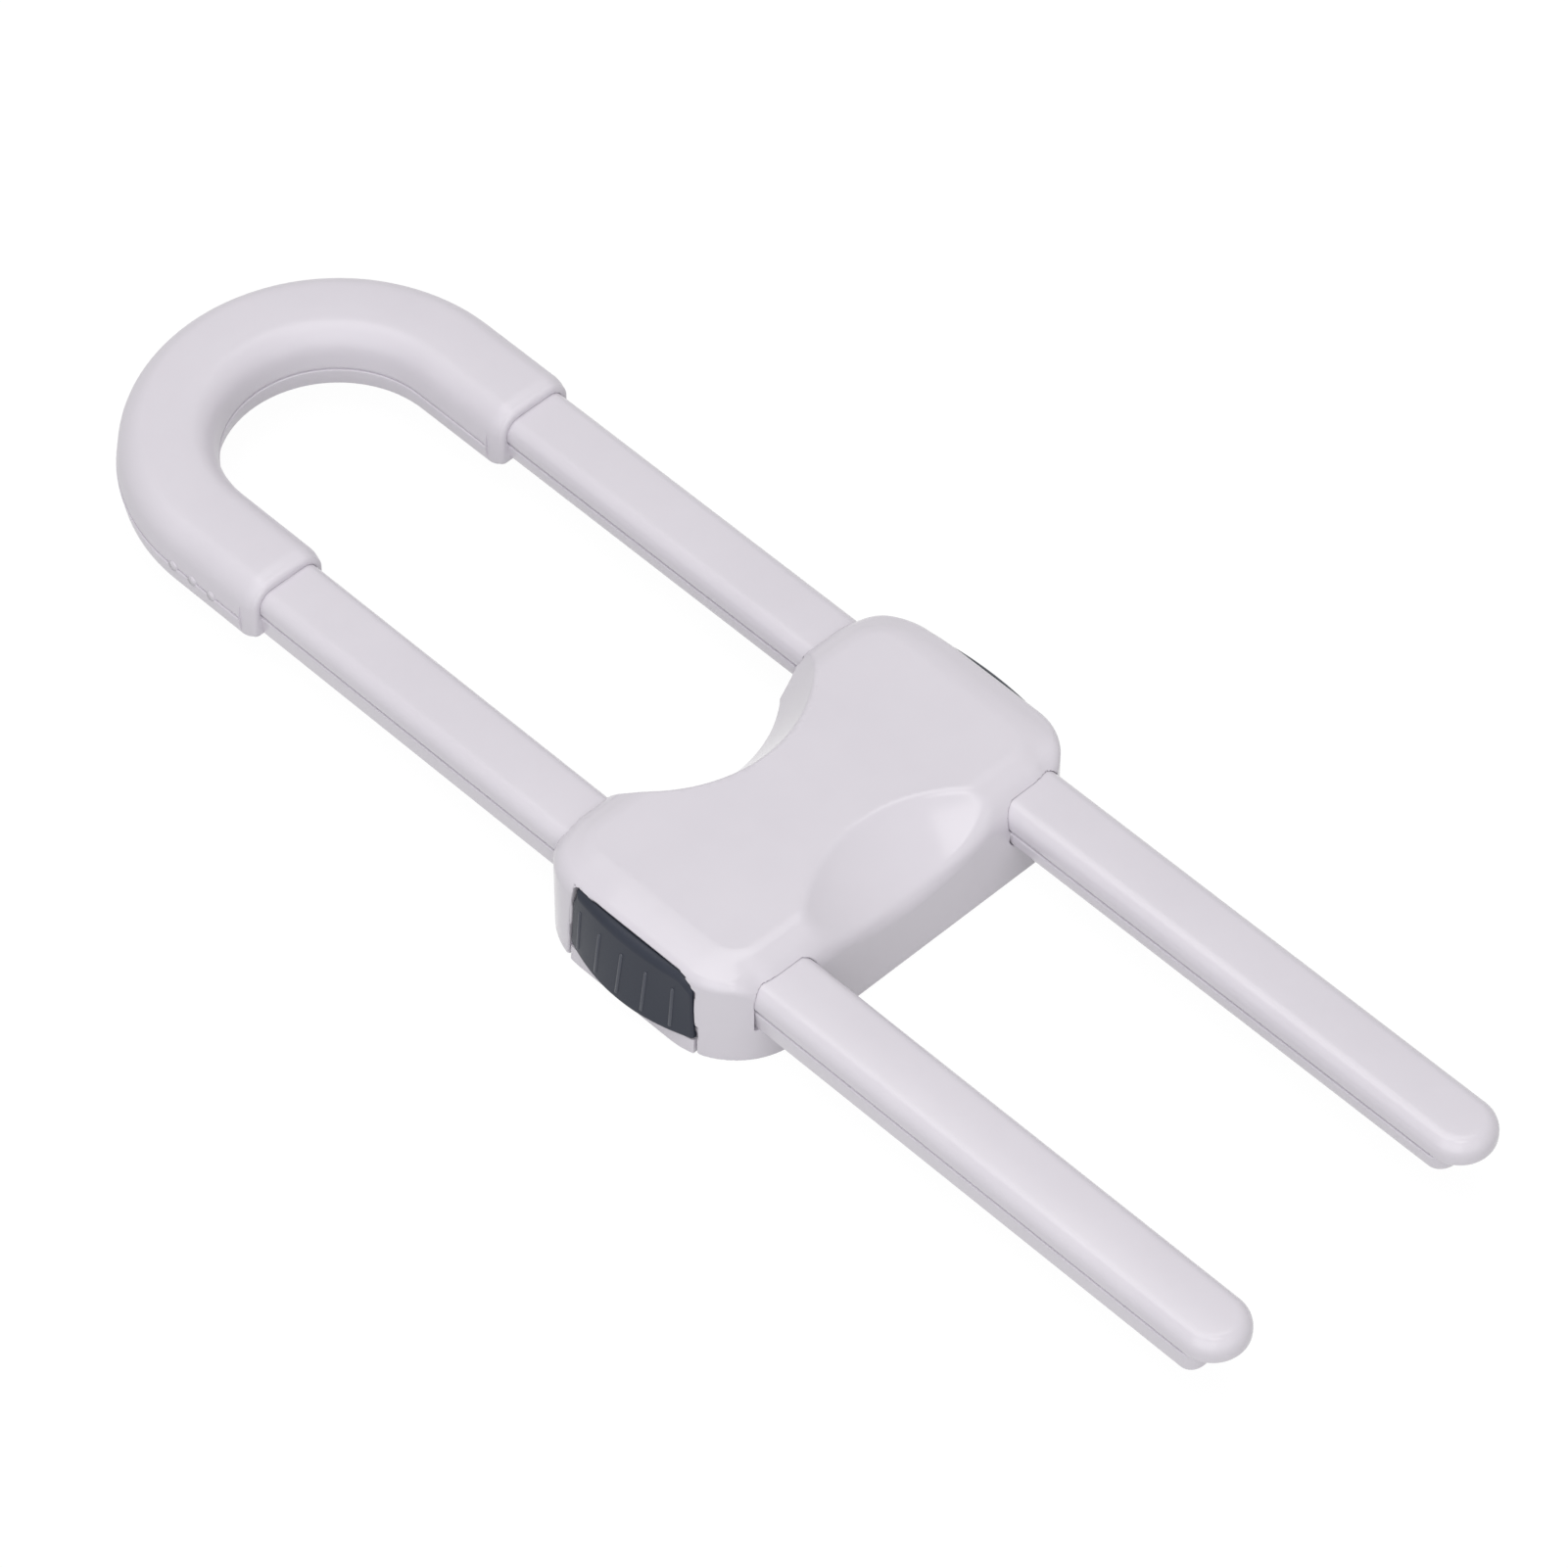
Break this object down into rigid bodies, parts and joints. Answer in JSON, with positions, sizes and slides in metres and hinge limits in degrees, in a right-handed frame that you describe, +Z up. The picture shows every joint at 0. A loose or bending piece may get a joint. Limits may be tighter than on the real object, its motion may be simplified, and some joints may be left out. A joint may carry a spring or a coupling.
{
  "type": "sliding cabinet lock",
  "caption": "Sliding U-shaped cabinet lock: a thick bend with toothed legs, and a ratchet slider that is freed by squeezing its side buttons.",
  "frame": {"origin": "middle of the slider's underside, at the rest pose", "axes": "+X along the legs towards their tips, +Y from the right leg to the left leg, +Z up out of the slider's top"},
  "size_m": [0.2, 0.0636, 0.0143],
  "materials": {
    "white_plastic": "smooth moulded white plastic with a soft gloss",
    "grey_plastic": "satin dark grey plastic",
    "natural_plastic": "natural slippery plastic",
    "steel": "plain steel"
  },
  "bodies": {
    "u_bar": {"bend_upper": "white_plastic", "bend_lower": "white_plastic", "left_leg": "white_plastic", "right_leg": "white_plastic", "left_rack": "white_plastic", "right_rack": "white_plastic"},
    "slider": {"slider_shell": "white_plastic", "slider_base": "white_plastic", "base_screws": "steel", "left_spring": "steel", "right_spring": "steel"},
    "left_latch": {"left_button": "grey_plastic", "left_pawl": "natural_plastic"},
    "right_latch": {"right_button": "grey_plastic", "right_pawl": "natural_plastic"}
  },
  "joints": [
    {"name": "slider_slide", "type": "slide", "parent": "u_bar", "child": "slider", "axis": [1, 0, 0], "range_m": [-0.048, 0.072]},
    {"name": "left_button_press", "type": "slide", "parent": "slider", "child": "left_latch", "axis": [0, -1, 0], "range_m": [0, 0.0016], "stiffness_N_per_m": 600, "springref_m": -0.001, "deforming": ["left_spring"]},
    {"name": "right_button_press", "type": "slide", "parent": "slider", "child": "right_latch", "axis": [0, 1, 0], "range_m": [0, 0.0016], "stiffness_N_per_m": 600, "springref_m": -0.001, "deforming": ["right_spring"]}
  ]
}
